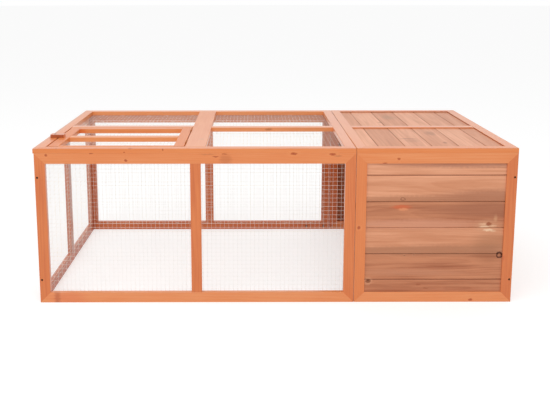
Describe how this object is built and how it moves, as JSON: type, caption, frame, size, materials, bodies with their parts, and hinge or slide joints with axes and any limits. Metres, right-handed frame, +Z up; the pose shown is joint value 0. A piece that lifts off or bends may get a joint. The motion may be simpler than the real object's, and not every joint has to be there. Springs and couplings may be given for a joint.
{
  "type": "outdoor rabbit run",
  "caption": "Low wooden animal run with wire-mesh walls and roof, a boarded house bay at one end, a lift-up mesh roof lid and a wooden turn button.",
  "frame": {"origin": "on the ground under the middle of the run and house together", "axes": "+X to the right along the front, towards the boarded house; +Y to the rear; +Z up"},
  "size_m": [1.5, 0.75, 0.5103],
  "materials": {
    "lath_wood": "orange-stained fir laths, satin",
    "board_wood": "stained fir tongue-and-groove boards, matt",
    "button_wood": "stained fir, satin",
    "wire_mesh": "galvanised welded wire",
    "zinc_steel": "zinc-plated steel",
    "dark_steel": "dark brown phosphated steel screws",
    "painted_steel": "lid hinges of sheet steel, painted matt in the wood's orange-brown"
  },
  "bodies": {
    "enclosure": {"front_run_top_rail": "lath_wood", "front_run_bottom_rail": "lath_wood", "front_run_left_stile": "lath_wood", "front_run_right_stile": "lath_wood", "front_run_mid_post": "lath_wood", "front_house_top_rail": "lath_wood", "front_house_bottom_rail": "lath_wood", "front_house_stiles": "lath_wood", "front_house_boards": "board_wood", "rear_run_top_rail": "lath_wood", "rear_run_bottom_rail": "lath_wood", "rear_run_left_stile": "lath_wood", "rear_run_right_stile": "lath_wood", "rear_run_mid_post": "lath_wood", "rear_house_top_rail": "lath_wood", "rear_house_bottom_rail": "lath_wood", "rear_house_stiles": "lath_wood", "rear_house_boards": "board_wood", "side_run_top_rail": "lath_wood", "side_run_bottom_rail": "lath_wood", "side_run_stiles": "lath_wood", "side_run_mid_post": "lath_wood", "side_house_top_rail": "lath_wood", "side_house_bottom_rail": "lath_wood", "side_house_stiles": "lath_wood", "side_house_boards": "board_wood", "run_roof_front_rail": "lath_wood", "run_roof_rear_rail": "lath_wood", "run_roof_left_rail": "lath_wood", "run_roof_mid_rail": "lath_wood", "run_roof_right_rail": "lath_wood", "run_roof_left_cross_rail": "lath_wood", "run_roof_right_cross_rail": "lath_wood", "house_roof_front_rail": "lath_wood", "house_roof_rear_rail": "lath_wood", "house_roof_side_rails": "lath_wood", "house_roof_batten": "lath_wood", "house_roof_boards": "board_wood", "front_mesh": "wire_mesh", "rear_mesh": "wire_mesh", "side_mesh": "wire_mesh", "roof_rear_mesh": "wire_mesh", "roof_mid_mesh": "wire_mesh", "lid_stop_strip": "lath_wood", "hinge_fixed_leaves": "painted_steel", "hinge_pins": "painted_steel", "hinge_fixed_screws": "dark_steel", "turn_button_screw": "dark_steel", "corner_screws": "dark_steel", "roof_brackets": "zinc_steel", "joining_plates": "zinc_steel", "plate_screws": "zinc_steel"},
    "lid": {"lid_stiles": "lath_wood", "lid_front_rail": "lath_wood", "lid_mid_rail": "lath_wood", "lid_rear_rail": "lath_wood", "lid_mesh": "wire_mesh", "hinge_lid_leaves": "painted_steel", "hinge_lid_screws": "dark_steel"},
    "turn_button": {"turn_button": "button_wood"}
  },
  "joints": [
    {"name": "lid_hinge", "type": "hinge", "parent": "enclosure", "child": "lid", "pos_m": [-0.28485, -0.17475, 0.5022], "axis": [0, 1, 0], "range_deg": [0, 180]},
    {"name": "turn_button_pivot", "type": "hinge", "parent": "enclosure", "child": "turn_button", "pos_m": [-0.7275, -0.188, 0.5053], "axis": [0, 0, 1], "continuous": true}
  ]
}
